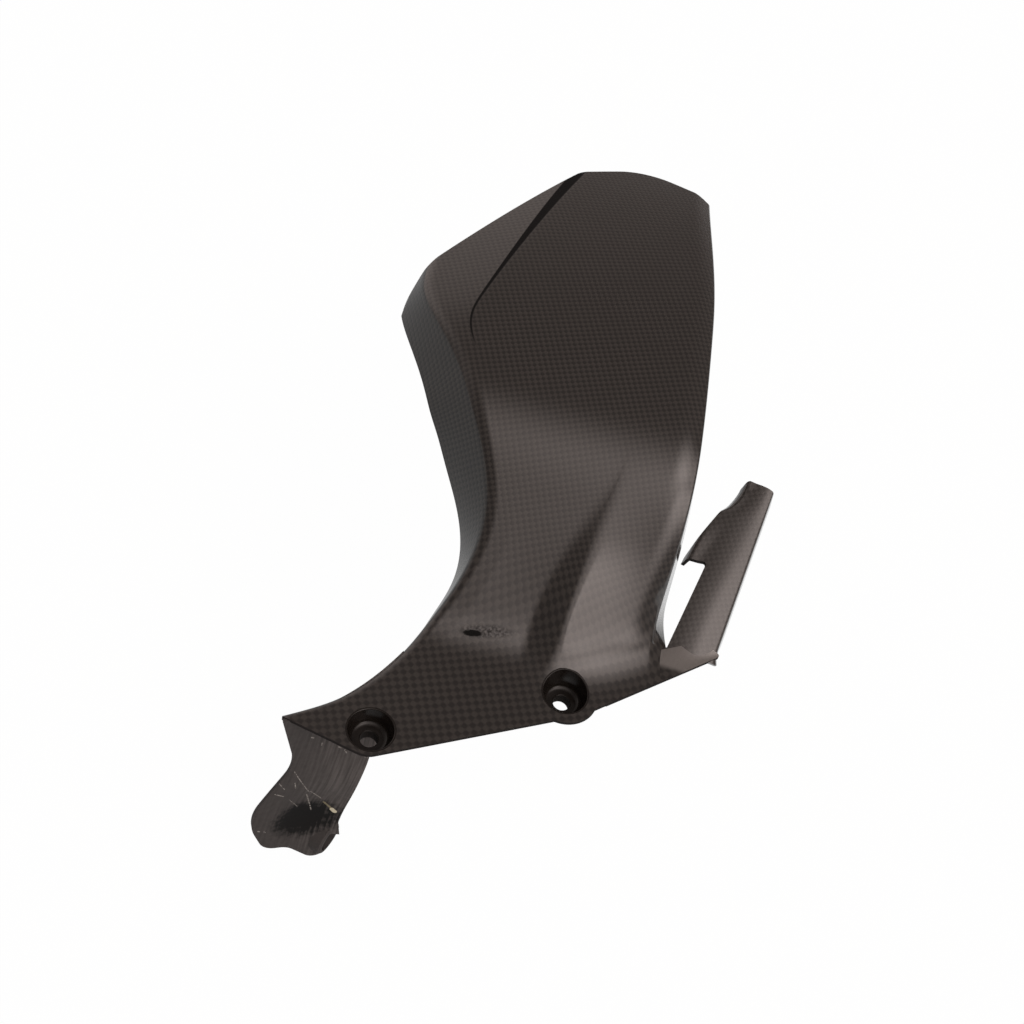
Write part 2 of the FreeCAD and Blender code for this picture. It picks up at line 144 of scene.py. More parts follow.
def linked(name, points, faces):
    """Object in the scene with a mesh of these points, in mm, and faces."""
    mesh = bpy.data.meshes.new(name)
    mesh.from_pydata((points * MM).tolist(), [], faces)
    piece = bpy.data.objects.new(name, mesh)
    scene.collection.objects.link(piece)
    return piece


def shell_mesh(name, sides, **maps):
    """Closed shell from two grids of points, the outer and the inner side, with a strip round the rim.
    Each map of the grid goes on as a layer of UVs."""
    m, n = sides[0].shape[:2]
    index = np.arange(m * n).reshape(m, n)
    top = np.stack([index[:-1, :-1], index[:-1, 1:], index[1:, 1:], index[1:, :-1]], axis=2).reshape(-1, 4)
    rim = np.concatenate([index[0, :-1], index[:-1, -1], index[-1, :0:-1], index[:0:-1, 0]])
    nxt = np.roll(rim, -1)
    strip = np.stack([nxt, rim, rim + m * n, nxt + m * n], axis=1)
    faces = np.concatenate([top, top[:, ::-1] + m * n, strip])
    piece = linked(name, np.concatenate([side.reshape(-1, 3) for side in sides]), faces.tolist())
    for layer, flat in maps.items():
        both = np.concatenate([flat.reshape(-1, 2)] * 2)[faces.ravel()]
        piece.data.uv_layers.new(name=layer).data.foreach_set("uv", both.astype(np.float32).ravel())
    return piece


def rounded_outline(corners):
    """Closed outline from corners (x, y, radius), each arc in equal turns between its two tangent points."""
    found = []
    for i, (x, y, r) in enumerate(corners):
        p = np.array([x, y])
        before, after = np.array(corners[i - 1][:2]) - p, np.array(corners[(i + 1) % len(corners)][:2]) - p
        near = min(np.linalg.norm(before), np.linalg.norm(after))
        u, v = before / np.linalg.norm(before), after / np.linalg.norm(after)
        half = math.acos(np.clip(u @ v, -1, 1)) / 2
        reach = min(r / math.tan(half), REACH_SHARE * near)
        radius = reach * math.tan(half)
        centre = p + (u + v) / np.linalg.norm(u + v) * math.hypot(reach, radius)
        start, stop = p + u * reach - centre, p + v * reach - centre
        turn = math.atan2(start[0] * stop[1] - start[1] * stop[0], start @ stop) if r else 0
        t = np.linspace(0, turn, ARC_STEPS + 1 if r else 1)
        found.append(centre + np.stack([start[0] * np.cos(t) - start[1] * np.sin(t),
                                        start[0] * np.sin(t) + start[1] * np.cos(t)], axis=1))
    return np.concatenate(found)


def prism(corners, low, high, place=np.eye(3), origin=(0, 0, 0)):
    """Solid cutter: a rounded outline drawn out from low to high, then turned and moved into place."""
    line = rounded_outline(corners)
    n = len(line)
    points = np.concatenate([np.column_stack([line, np.full(n, h)]) for h in (low, high)]) @ np.array(place).T
    ring = np.arange(n)
    faces = [ring[::-1].tolist(), (ring + n).tolist()]
    faces += np.stack([ring, np.roll(ring, -1), np.roll(ring, -1) + n, ring + n], axis=1).tolist()
    return linked("cutter", points + origin, faces)


def full_turn():
    """Angles of one full turn, without the last, which is the first again."""
    return np.linspace(0, 2 * math.pi, TURN_STEPS + 1)[:-1]


def circle(x, y, r):
    """Circle in plan as sharp corners for a prism."""
    return [(x + r * math.cos(v), y + r * math.sin(v), 0) for v in full_turn()]


def trim(piece, cutter, how, crossing=False):
    """Cuts the piece by the cutter and keeps the result as its mesh. Crossing allows folds that meet."""
    step = piece.modifiers.new("trim", "BOOLEAN")
    step.object, step.operation, step.solver, step.use_self = cutter, how, "EXACT", crossing
    made = bpy.data.meshes.new_from_object(piece.evaluated_get(bpy.context.evaluated_depsgraph_get()))
    piece.modifiers.clear()
    piece.data = made
    bpy.data.objects.remove(cutter)


RISER_TOP, RIDGE_H, SHOULDER_W, SHOULDER_DIP, PANEL_DROP = 72.0, 4.0, 11.0, 2.5, 11.0
CREASE_START, CREASE_X, CREASE_SHIFT, CREASE_ROUND = 100.0, -49.0, 39.0, 30.0
EDGE_ROLL, FACET_STEP, FACET_TILT = 9.0, 1.5, 0.27
GROOVE_LEAST, GROOVE_GROWTH, GROOVE_EDGE = 0.8, 5.2, 0.6
CHAMFER, LIP_SHARE, LIP_DROP, SIDE_DROP, PLATE_SPREAD = 6.0, 0.2, 2.4, 14.0, 14.0
s = np.linspace(FRONT, END, STATIONS)
y, z, a = middle_line(s)
left = smooth(((FRONT, -86), (-50, -46), (-22, -30), (32, -14), (82, -33), (135, -67)), s)
right = smooth(((32, 58.5), (150, 50.6), (TAIL, 38.2)), s)
rise = smooth(((-22, 0), (0, 1), (RISER_TOP, 0)), s)
ridge = smooth(((0, 24.6), (RISER_TOP, 30.3)), s)
shoulder = ridge - SHOULDER_W * smooth(((0, 1), (40, 0.72), (RISER_TOP, 0.1)), s)
dip = SHOULDER_DIP * smooth(((-22, 0), (0, 1), (40, 0)), s)
panel_fold = -np.minimum(PANEL_DROP * smooth(((0, 1), (RISER_TOP, 0)), s), (z - PLATE_TOP) / np.cos(a))
grow = np.maximum(0, (s - CREASE_START) / (TAIL - CREASE_START))
over = CREASE_X + grow * CREASE_SHIFT - left - EDGE_ROLL
ease = CREASE_ROUND * np.minimum(1, 8 * grow)
crease = left + EDGE_ROLL + np.where(grow > 0, (over + np.sqrt(over ** 2 + ease + 1e-6)) / 2, 0)
step_down = FACET_STEP * grow
drop = step_down + FACET_TILT * (crease - left - EDGE_ROLL)
flare = smooth(((0, 0.6), (60, 20.4), (135, 8)), s)
depth = smooth(((-50, 3), (-22, 8), (32, 20)), s)
opening = smooth(((-6, 0), (14, 1)), s)
lean = smooth(((8, 4.2), (32, 3.4), (RISER_TOP, 2.0)), s)
spread = lean * opening + PLATE_SPREAD * (1 - opening)
groove_width = GROOVE_LEAST + GROOVE_GROWTH * smooth(((CREASE_START, 0), (TAIL, 1)), s)
zero = np.zeros_like(s)
sides, cloth, marks = folded(
    np.stack([zero, y, z], axis=1), np.stack([zero + 1, zero, zero], axis=1),
    np.stack([zero, -np.sin(a), np.cos(a)], axis=1),
    ((left - flare, -depth - drop * 0.5, 0), (left, -drop, 3.6),
     (crease + GROOVE_EDGE - groove_width, -step_down, 0.3), (crease + GROOVE_EDGE, zero, 0.5),
     (shoulder, -dip, 2.5), (ridge, RIDGE_H * rise, 2.5),
     (right - CHAMFER, panel_fold + CHAMFER * (RIDGE_H * rise - panel_fold) / (right - ridge), 4.0),
     (right + LIP_SHARE * spread, panel_fold - LIP_DROP * opening, 0.7),
     (right + spread, panel_fold - SIDE_DROP * opening, 0)),
    (12, 14, 3, 26, 6, 10, 5, 8), SKIN_ROWS, s)
skin = shell_mesh("skin", sides, cloth=cloth, marks=marks)
BOLT_PITCH, BOLT_TURN, EAR_R = 75.4, math.radians(31.0), 12.8
SKIN_LOW, SKIN_HIGH = -60.0, 120.0
bolts = [(side * BOLT_PITCH / 2 * math.cos(BOLT_TURN), side * BOLT_PITCH / 2 * math.sin(BOLT_TURN))
         for side in (-1, 1)]
outline = prism([(-110, -10, 0), (-65.0, -19, 0), (-63.7, -24.5, 1), (-31, -30.5, 9), (40.5, 12.4, 6),
                 (88.6, 57.3, 2), (88.6, 205, 0), (59, 215, 0), (47.6, 251.2, 31), (8, 262, 30), (-20, 243, 8),
                 (-64.6, 161.9, 22), (-71.6, 147, 14), (-72.4, 128, 0), (-113, 100, 0)], SKIN_LOW, SKIN_HIGH)
trim(outline, prism(circle(*bolts[1], EAR_R), SKIN_LOW - 1, SKIN_HIGH + 1), "UNION")
trim(skin, outline, "INTERSECT")


class Sock:
    """A shader socket that grows further nodes as it is added, multiplied, faded and mixed."""

    def __init__(self, tree, link):
        self.tree, self.link = tree, link

    def node(self, kind, settings=None, out=0, **inputs):
        made = self.tree.nodes.new(kind)
        for key, value in (settings or {}).items():
            setattr(made, key, value)
        for key, value in inputs.items():
            socket = made.inputs[int(key[1:])] if key[1:].isdigit() else made.inputs[key.replace("_", " ")]
            if isinstance(value, Sock):
                self.tree.links.new(value.link, socket)
            else:
                socket.default_value = value
        return Sock(self.tree, made.outputs[out])

    def math(self, operation, *values):
        numbered = {f"i{k}": value for k, value in enumerate(values)}
        return self.node("ShaderNodeMath", {"operation": operation}, **numbered)

    def __add__(self, other): return self.math("ADD", self, other)
    def __radd__(self, other): return self.math("ADD", other, self)
    def __sub__(self, other): return self.math("SUBTRACT", self, other)
    def __rsub__(self, other): return self.math("SUBTRACT", other, self)
    def __mul__(self, other): return self.math("MULTIPLY", self, other)
    def __abs__(self): return self.math("ABSOLUTE", self)

    def fade(self, low, high):
        return self.node("ShaderNodeMapRange", {"interpolation_type": "SMOOTHSTEP"}, Value=self, From_Min=low,
                         From_Max=high)

    def mix(self, first, second):
        return self.node("ShaderNodeMix", {"data_type": "RGBA"}, out=2, Factor=self, i6=first, i7=second)

    def most(self, other):
        return self.math("MAXIMUM", self, other)

    def pair(self):
        return [self.node("ShaderNodeSeparateXYZ", out=k, Vector=self) for k in (0, 1)]

    def feed(self, node, name):
        self.tree.links.new(self.link, node.inputs[name])


def blank(name):
    """New material, its main shader and a kit to grow nodes from."""
    made = bpy.data.materials.new(name)
    made.use_nodes = True
    return made, made.node_tree.nodes["Principled BSDF"], Sock(made.node_tree, None)


def oval(u, v, middle, reach, tilt=0.0):
    """Square of the distance from the middle of an oval whose long axis is tilted, one at its edge."""
    over = u - middle[0]
    up = (v - middle[1] - over * tilt) * (1 / reach[1])
    over = over * (1 / reach[0])
    return over * over + up * up


TOW_PAIR, FINER, CLOTH_TURN = 3.11, 0.4, math.radians(24.0)
FINER_FROM, FINER_TO, NO_HIGHLIGHT = 85.0, 130.0, 1000.0
PAINTED_HIGHLIGHT_TONE, CUT_DARK = (0.15, 0.142, 0.135, 1), (0.014, 0.013, 0.013, 1)
CLOTH_DARK, CLOTH_LIGHT = (0.0085, 0.0068, 0.0058, 1), (0.030, 0.0262, 0.0232, 1)
GROOVE_START, GROOVE_SHADE_AND_SMUDGE_TONE, NO_MAP = 98.0, (0.002, 0.002, 0.002, 1), 1e-4
SHARP = math.radians(38.0)
CLOTH_ROUGH, DULL_ROUGH, CLOTH_SPECULAR = 0.42, 0.5, 0.25
COAT_ROUGH, COAT_IOR, TOW_BUMP, TOW_HEIGHT = 0.06, 1.55, 0.12, 0.0002


def carbon(name, dark, light, highlight_from=NO_HIGHLIGHT):
    """Clear-coated plain weave. Cos(y) minus cos(x) over one pair of tows is a chequer turned by 45 degrees:
    one sign is tows of one direction, the other sign the other, and each is a small pillow.
    The step of the crease, between corners 2 and 3, is darkened and has its coat taken off as painted shade of
    its groove. A blot and a stain at the foot of the riser and the cut edges, which have no map, are dark. Past
    the place given as the last argument the colour is a light grey, a painted highlight."""
    made, shader, kit = blank(name)
    flat = kit.node("ShaderNodeUVMap", {"uv_map": "cloth"})
    u, v = flat.pair()
    wave = (1.0 + v.fade(FINER_FROM, FINER_TO) * FINER) * (2 * math.pi / TOW_PAIR)
    x = (u * math.cos(CLOTH_TURN) + (v - FINER_TO) * math.sin(CLOTH_TURN)) * wave
    y = ((v - FINER_TO) * math.cos(CLOTH_TURN) - u * math.sin(CLOTH_TURN)) * wave
    chequer = y.math("COSINE", y) - x.math("COSINE", x)
    wander = kit.node("ShaderNodeTexNoise", Vector=flat, Scale=0.9, Detail=3.0)
    patch = kit.node("ShaderNodeTexNoise", Vector=flat, Scale=0.05, Detail=2.0)
    tone = (chequer + (wander - 0.5) * 1.4).fade(-1.1, 1.0) * (0.7 + patch * 0.6)
    number, along = kit.node("ShaderNodeUVMap", {"uv_map": "marks"}).pair()
    # Painted shade: the step of the crease, between corners 2 and 3, is darkened and its coat taken off.
    groove_shade = number.fade(1.9, 2.1) * number.fade(3.1, 2.85) * along.fade(GROOVE_START, GROOVE_START + 10)
    blot = (oval(u, v, (-7.4, 79.2), (3.6, 1.3), 0.2) + (wander - 0.5) * 1.2).fade(1.5, 0.6)
    stain = (oval(u, v, (-3.0, 81.2), (13.0, 3.4), 0.22) + (wander - 0.5) * 2.2).fade(1.2, 0.3)
    dull = groove_shade.most(blot.most(stain * wander.fade(0.35, 0.7) * 0.85))
    cut = u.math("LESS_THAN", abs(u) + abs(v), NO_MAP)
    # Past the given place the colour is a light grey: a painted highlight.
    laminate = v.fade(highlight_from, highlight_from + 3.0).mix(tone.mix(dark, light), PAINTED_HIGHLIGHT_TONE)
    dull.mix(cut.mix(laminate, CUT_DARK), GROOVE_SHADE_AND_SMUDGE_TONE).feed(shader, "Base Color")
    dull = dull.most(cut)
    (1.0 - dull).feed(shader, "Coat Weight")
    (CLOTH_ROUGH + dull * DULL_ROUGH).feed(shader, "Roughness")
    bump = kit.node("ShaderNodeBump", Height=abs(chequer), Strength=TOW_BUMP, Distance=TOW_HEIGHT)
    bump.feed(shader, "Normal")
    shader.inputs["Specular IOR Level"].default_value = CLOTH_SPECULAR
    shader.inputs["Coat Roughness"].default_value = COAT_ROUGH
    shader.inputs["Coat IOR"].default_value = COAT_IOR
    return made


def dress(piece, material):
    """One material, smooth shading that breaks at sharp edges, and the body and node it stands for."""
    piece.data.materials.clear()
    piece.data.materials.append(material)
    piece.data.shade_smooth()
    piece.data.set_sharp_from_angle(angle=SHARP)
    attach(piece, "root")
    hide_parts("rear_fender")


# The bolt cups: two wells sunk in the plate, drafted, with a rounded floor and a spigot for the bolt.
# They are moulded with the skin, in glossy bare resin, and the right one's rim follows the climbing skin.
HOLE_R, CUP_R, CUP_DEPTH, SPIGOT_R = 3.3, 8.4, 6.6, 4.8
FLOOR_Z, FLOOR_ROUND, FLOOR_WALL, HOLE_EASE = PLATE_TOP - CUP_DEPTH, 2.0, 1.4, 0.3
RIM_R, DRAFT, RIM_BLUR, RIM_SPARE = 0.4, 1.0, 4, 0.9
WELL_LOW, WELL_HIGH = -5.0, 40.0
RESIN_DARK, RESIN_LIGHT = (0.006, 0.005, 0.0045, 1), (0.016, 0.013, 0.011, 1)
RESIN_SPECULAR, RESIN_ROUGH, HOLE_ROUGH = 0.3, 0.1, 0.75


def skin_height(px, py):
    """Height of the skin's grid nearest to each point in plan."""
    flat = sides[0].reshape(-1, 3)
    near = np.argmin((flat[:, 0] - px[:, None]) ** 2 + (flat[:, 1] - py[:, None]) ** 2, axis=1)
    return flat[near, 2]


def turned(name, outline, place, origin, lift=0.0):
    """Closed outline of (radius, height) turned round the third axis of place, its points raised by lift."""
    r, h = np.array(outline).T
    turn = full_turn()[:, None]
    local = np.stack([r * np.cos(turn), r * np.sin(turn), h + lift + 0 * turn], axis=2)
    points = local @ np.array(place).T + origin
    m, n = points.shape[:2]
    index = np.arange(m * n).reshape(m, n)
    step = np.roll(index, -1, axis=0)
    faces = np.stack([index, step, np.roll(step, -1, axis=1), np.roll(index, -1, axis=1)], axis=2)
    return linked(name, points.reshape(-1, 3), faces.reshape(-1, 4).tolist())


def cup(name, cx, cy):
    """A bolt cup with arcs at floor and rim, whose upper part climbs with the skin round it."""
    t = np.linspace(0, math.pi / 2, 7)
    low = CUP_R - DRAFT
    line = [(HOLE_R, 0.0), (HOLE_R, FLOOR_Z - HOLE_EASE), (HOLE_R + HOLE_EASE, FLOOR_Z)]
    line += [(low - FLOOR_ROUND, FLOOR_Z)]
    line += [(low - FLOOR_ROUND + FLOOR_ROUND * math.sin(v), FLOOR_Z + FLOOR_ROUND - FLOOR_ROUND * math.cos(v))
             for v in t]
    line += [(CUP_R, PLATE_TOP - RIM_R)]
    line += [(CUP_R + RIM_R - RIM_R * math.cos(v), PLATE_TOP - 0.35 + RIM_R * math.sin(v)) for v in t]
    line += [(CUP_R + 2 * RIM_R, PLATE_TOP + 0.03), (CUP_R + 2 * RIM_R, PLATE_TOP - WALL - 0.5)]
    line += [(low + 1.2, FLOOR_Z + 2.4), (low - 1.1, FLOOR_Z - FLOOR_WALL), (SPIGOT_R, FLOOR_Z - FLOOR_WALL)]
    line += [(SPIGOT_R, 0.0)]
    turn, rim = full_turn(), CUP_R + RIM_SPARE
    rim_z = skin_height(cx + rim * np.cos(turn), cy + rim * np.sin(turn))
    spread_z = np.concatenate([rim_z[-RIM_BLUR:], rim_z, rim_z[:RIM_BLUR]])
    blur = 2 * RIM_BLUR + 1
    climb = np.convolve(spread_z, np.full(blur, 1 / blur), "valid") - PLATE_TOP
    share = np.clip((np.array(line)[:, 1] - FLOOR_Z - FLOOR_ROUND) / (CUP_DEPTH - FLOOR_ROUND), 0, 1)
    return turned(name, line, np.eye(3), (cx, cy, 0), share * np.maximum(climb, 0)[:, None])


resin, resin_shader, resin_kit = blank("bare_resin")
resin_place = resin_kit.node("ShaderNodeTexCoord", out=3)
resin_flow = resin_kit.node("ShaderNodeTexNoise", Vector=resin_place, Scale=500.0, Detail=3.0)
resin_flow.mix(RESIN_DARK, RESIN_LIGHT).feed(resin_shader, "Base Color")
resin_shader.inputs["Specular IOR Level"].default_value = RESIN_SPECULAR
resin_z = resin_kit.node("ShaderNodeSeparateXYZ", out=2, Vector=resin_place)
resin_deep = resin_z.fade(FLOOR_Z * MM, (FLOOR_Z - 0.5) * MM)
(RESIN_ROUGH + resin_flow * 0.15 + resin_deep * HOLE_ROUGH).feed(resin_shader, "Roughness")
for name, (cx, cy) in zip(("left_cup", "right_cup"), bolts):
    trim(skin, prism(circle(cx, cy, CUP_R + RIM_R), WELL_LOW, WELL_HIGH), "DIFFERENCE")
    dress(cup(name, cx, cy), resin)
dress(skin, carbon("carbon", CLOTH_DARK, CLOTH_LIGHT))

# The chain guard: a crowned channel of the same laminate on its own slope, to the right of the blade.
# It starts on the gusset at the plate's right tip, is notched beside the blade, and its tip is stepped.
GUARD_Y, GUARD_SLOPE, GUARD_LEN = 57.0, math.radians(20.0), 76.0
GUARD_SPARE, GUARD_STATIONS, GUARD_ROWS = 4.0, 30, 120
GUARD_RIGHT, GUARD_SPREAD, STEP_H, CROWN_H = 88.2, 8.3, 1.3, 2.5
GUARD_LOW, GUARD_HIGH, NOTCH_TOP = -20.0, 80.0, 90.8
# The guard's weave tones are lighter than the skin's, though it is the same laminate: painted light.
GUARD_LIT_DARK_TOWS, GUARD_LIT_LIGHT_TOWS = (0.030, 0.027, 0.025, 1), (0.052, 0.048, 0.045, 1)
q = np.linspace(-GUARD_SPARE, GUARD_LEN + GUARD_SPARE, GUARD_STATIONS)
jog = GUARD_LEN - 14
g_left = smooth(((0, 60), (GUARD_LEN * 0.44, 66.2), (jog - 4, 73.2), (jog + 2, 79.4), (GUARD_LEN, 83.4)), q)
g_right = GUARD_RIGHT + GUARD_SPREAD * q / GUARD_LEN
g_step = STEP_H * smooth(((jog - 18, 0), (jog, 1), (GUARD_LEN - 6, 1), (GUARD_LEN - 2, 0)), q)
g_edge = np.maximum(g_left + 3.4, 84.4 - (GUARD_LEN - 2 - q) * 0.34)
g_crown = CROWN_H * smooth(((0, 1), (GUARD_LEN, 0.4)), q)
g_hang = smooth(((-3, 0.6), (1.5, 9), (9, 7)), q)
none = np.zeros_like(q)
g_sides, g_cloth, _ = folded(
    np.stack([none, GUARD_Y + q * math.cos(GUARD_SLOPE), PLATE_TOP + q * math.sin(GUARD_SLOPE)], axis=1),
    np.stack([none + 1, none, none], axis=1),
    np.stack([none, none - math.sin(GUARD_SLOPE), none + math.cos(GUARD_SLOPE)], axis=1),
    ((g_left - 1.2, none - 4.9, 0), (g_left, -g_step, 1.6), (g_edge, none, 1.4),
     ((g_edge + g_right) / 2, g_crown, 6.0), (g_right - 1.5, none, 1.2), (g_right, -g_hang, 0)),
    (3, 6, 5, 8, 4), GUARD_ROWS, q)
guard = shell_mesh("chain_guard", g_sides, cloth=g_cloth + (0, FINER_TO))
tip = GUARD_Y + GUARD_LEN * math.cos(GUARD_SLOPE)
trim(guard, prism([(40, 40, 0), (120, 40, 0), (120, 60, 0), (97.1, 60, 0), (96.7, tip - 2, 4),
                   (82.4, tip + 0.6, 3), (64.5, 91, 0), (40, 91, 0)], GUARD_LOW, GUARD_HIGH), "INTERSECT", True)
trim(guard, prism([(40, 54, 0), (67, 54, 0), (74.5, NOTCH_TOP, 1), (40, NOTCH_TOP, 0)], GUARD_LOW, GUARD_HIGH),
     "DIFFERENCE", True)
dress(guard, carbon("carbon_guard_painted_lighter", GUARD_LIT_DARK_TOWS, GUARD_LIT_LIGHT_TOWS))

# The gusset: the web of laminate that carries the plate on to the guard's root at its right tip.
# It is a four-sided patch, level at the plate's front edge, rising to the guard, and at that end its colour is
# a light grey painted highlight.
WEB_SINK, WEB_RISE, WEB_FLAT, HIGHLIGHT_FROM = 0.1, 3.4, 0.45, 43.0
WEB_LOW, WEB_HIGH, OFF_ZERO = -20.0, 60.0, 0.01
web_s, web_t = np.meshgrid(np.linspace(0, 1, 60), np.linspace(0, 1, 30))
front_edge, back_edge = np.array([[46.0, 8.0], [93.0, 55.0]]), np.array([[54.0, 46.0], [96.0, 68.0]])
web = [(edge[0] + (edge[1] - edge[0]) * web_s[..., None]) for edge in (front_edge, back_edge)]
web = web[0] + (web[1] - web[0]) * web_t[..., None]
web_z = (PLATE_TOP - WEB_SINK
         + WEB_RISE * np.maximum(web_t - WEB_FLAT, 0) ** 2 / 0.3 * np.clip(web_s * 1.6 - 0.3, 0, 1))
web_sides = [np.concatenate([web, (web_z - depth)[..., None]], axis=2) for depth in (0.0, WALL)]
gusset = shell_mesh("gusset", web_sides, cloth=web + OFF_ZERO)
trim(gusset, prism([(40, -5, 0), (48, 19.3, 0), (88.6, 57.3, 1), (85.5, 58.2, 0), (62, 63, 0), (50, 70, 0),
                    (50, 40, 0)], WEB_LOW, WEB_HIGH), "INTERSECT")
dress(gusset, carbon("carbon_gusset", CLOTH_DARK, CLOTH_LIGHT, HIGHLIGHT_FROM))

# The mounting tab: the laminate hung from the plate's left end, bare and scuffed, with one map for both faces.
# It is hollowed beside a short bored boss on its lower edge, and scratches and a chip are laid on its colour,
# with painted shade darkening it round the hollow.
TAB_CORNER, TAB_TURN, TAB_LEAN, TAB_LEN = (-64.0, -24.0), math.radians(27.1), 0.114, 95.0
TAB_ACROSS, TAB_DOWN, TAB_COLUMNS, TAB_ROWS = 10, 11, 110, 150
HOLLOW_DEPTH, HOLLOW_U, HOLLOW_HALF = 6.0, 14.0, 17.0
TAB_BACK, TAB_FRONT, TAB_ROUGH, TAB_SPECULAR = -60.0, 60.0, 0.6, 0.2
t_u, t_down = np.meshgrid(np.linspace(-18, 54, TAB_ACROSS), np.linspace(0.7, TAB_LEN + 6, TAB_DOWN))
fade = smooth(((1, 1), (35, 0)), t_down)
low = smooth(((TAB_LEN - 52, 0), (TAB_LEN - 28, 1), (TAB_LEN - 8, 0)), t_down)
lift = (fade * (0.0075 * t_u ** 2 + 0.1 * t_u - 1.4) - TAB_LEAN * t_down
        + HOLLOW_DEPTH * low * np.maximum(0, 1 - ((t_u - HOLLOW_U) / HOLLOW_HALF) ** 2))
w_down = spline_weights(TAB_DOWN, np.linspace(0, 1, TAB_ROWS))
w_over = spline_weights(TAB_ACROSS, np.linspace(0, 1, TAB_COLUMNS))
t_u, t_down, lift = [w_down @ v @ w_over.T for v in (t_u, t_down, lift)]
tab_sides = [np.stack([TAB_CORNER[0] + t_u * math.cos(TAB_TURN) - (lift - depth) * math.sin(TAB_TURN),
                       TAB_CORNER[1] + t_u * math.sin(TAB_TURN) + (lift - depth) * math.cos(TAB_TURN),
                       PLATE_TOP - t_down], axis=2) for depth in (0.0, WALL)]
tab = shell_mesh("mounting_tab", tab_sides, cloth=np.stack([t_u, -t_down], axis=2))
upright = np.array([[math.cos(TAB_TURN), 0, math.sin(TAB_TURN)], [math.sin(TAB_TURN), 0, -math.cos(TAB_TURN)],
                    [0, 1, 0]])
trim(tab, prism([(-2.3, 10, 0), (6.0, -29.0, 22), (-10.8, -63, 26), (-3.6, -83, 12), (6, -84.5, 10),
                 (17.5, -TAB_LEN, 5), (27, -83, 6), (26, -74, 6), (34.8, -30, 6), (49, -6, 0), (49, 10, 0)],
                TAB_BACK, TAB_FRONT, upright, (*TAB_CORNER, PLATE_TOP)), "INTERSECT")
BOSS_AT, BOSS_DOWN, BOSS_TURN = (-39.0, -21.5), 86.0, math.radians(-19.0)
BOSS_R, BORE_R, BOSS_LEN, BOSS_EDGE, BORE_SPARE = 7.2, 5.2, 15.0, 0.8, 4.0
boss_way = np.array([math.cos(BOSS_TURN), math.sin(BOSS_TURN), 0])
boss_place = np.column_stack([np.cross((0, 0, 1), boss_way), (0, 0, 1), boss_way])
boss_place = boss_place[:, [1, 0, 2]] if np.linalg.det(boss_place) < 0 else boss_place
boss_end = np.array([*BOSS_AT, PLATE_TOP - BOSS_DOWN])
trim(tab, prism(circle(0, 0, BORE_R), -BOSS_LEN - BORE_SPARE, BORE_SPARE, boss_place, boss_end), "DIFFERENCE")
boss_line = [(BORE_R, 0), (BORE_R, -BOSS_LEN), (BOSS_R - BOSS_EDGE, -BOSS_LEN),
             (BOSS_R, -BOSS_LEN + BOSS_EDGE), (BOSS_R, -BOSS_EDGE), (BOSS_R - BOSS_EDGE, 0)]
boss = turned("tab_boss", boss_line[::-1], boss_place, boss_end)

SCRATCHES = (((0.3, -38.9), (3.0, -44.4), 0.22), ((6.8, -41.0), (7.2, -44.6), 0.3),
             ((6.1, -33.4), (12.9, -50.1), 0.24), ((-0.5, -46.7), (2.9, -49.6), 0.3),
             ((12.1, -52.1), (15.2, -67.3), 0.32), ((13.4, -49.6), (18.5, -58.6), 0.25),
             ((-6.0, -70.2), (-5.3, -70.8), 0.35), ((-3.6, -71.6), (-3.0, -72.4), 0.25),
             ((5.5, -54), (9.5, -63), 0.16), ((11.4, -14.3), (12.2, -14.9), 0.35),
             ((15.7, -18.7), (15.6, -20.2), 0.3), ((22.1, -23.3), (23.2, -24.1), 0.3),
             ((24.7, -25.6), (25.3, -27.2), 0.4), ((32.4, -30.4), (33.6, -31.3), 0.6))
WORN_AND_SHADED_DARK, WORN_LIGHT = (0.006, 0.006, 0.006, 1), (0.125, 0.119, 0.117, 1)
SCRATCH_TONE, SPLIT_TONE, CHIP_TONE = (0.36, 0.36, 0.34, 1), (0.2, 0.185, 0.12, 1), (0.56, 0.55, 0.42, 1)
scuffed, worn_shader, worn = blank("scuffed_and_shaded_laminate")
worn_map = worn.node("ShaderNodeUVMap", {"uv_map": "cloth"})
wu, wv = worn_map.pair()


def streak(start, stop, width):
    """One at the straight line from start to stop, falling to none at its width."""
    du, dv = stop[0] - start[0], stop[1] - start[1]
    pu, pv = wu - start[0], wv - start[1]
    t = worn.node("ShaderNodeClamp", Value=(pu * du + pv * dv) * (1 / (du * du + dv * dv)))
    eu, ev = pu - t * du, pv - t * dv
    return worn.math("SQRT", eu * eu + ev * ev).fade(width, width * 0.4)


brushed = worn.node("ShaderNodeTexNoise", Detail=4.0, Scale=1.0, Vector=worn.node(
    "ShaderNodeCombineXYZ", X=(wu - wv * 0.2) * 0.9, Y=(wv + wu * 0.2) * 0.04))
grain = worn.node("ShaderNodeTexNoise", Detail=3.0, Scale=0.5, Vector=worn_map)
# Painted shade: the colour is darkened round the hollow beside the boss, broken up by noise.
hollow = oval(wu, wv, (HOLLOW_U, -70.0), (9.5, 7.0))
dark = (hollow + (grain - 0.5) * 2.4 + (brushed - 0.5) * 0.8).fade(3.2, -0.8)
sheen = brushed.fade(0.3, 0.7) * wu.fade(2, 24) * 0.34
face = (0.14 + sheen + brushed * 0.3 + grain * 0.22 - dark * 0.9).mix(WORN_AND_SHADED_DARK, WORN_LIGHT)
hits = streak(*SCRATCHES[0])
for mark in SCRATCHES[1:]:
    hits = hits.most(streak(*mark))
broken = worn.node("ShaderNodeTexNoise", Vector=worn_map, Scale=1.1, Detail=3.0).fade(0.40, 0.56)
face = (hits * broken * 0.8).mix(face, SCRATCH_TONE)
split = streak((19.6, -61.6), (22.8, -66.0), 0.7)
face = (split * (0.3 + grain)).fade(0.3, 0.9).mix(face, SPLIT_TONE)
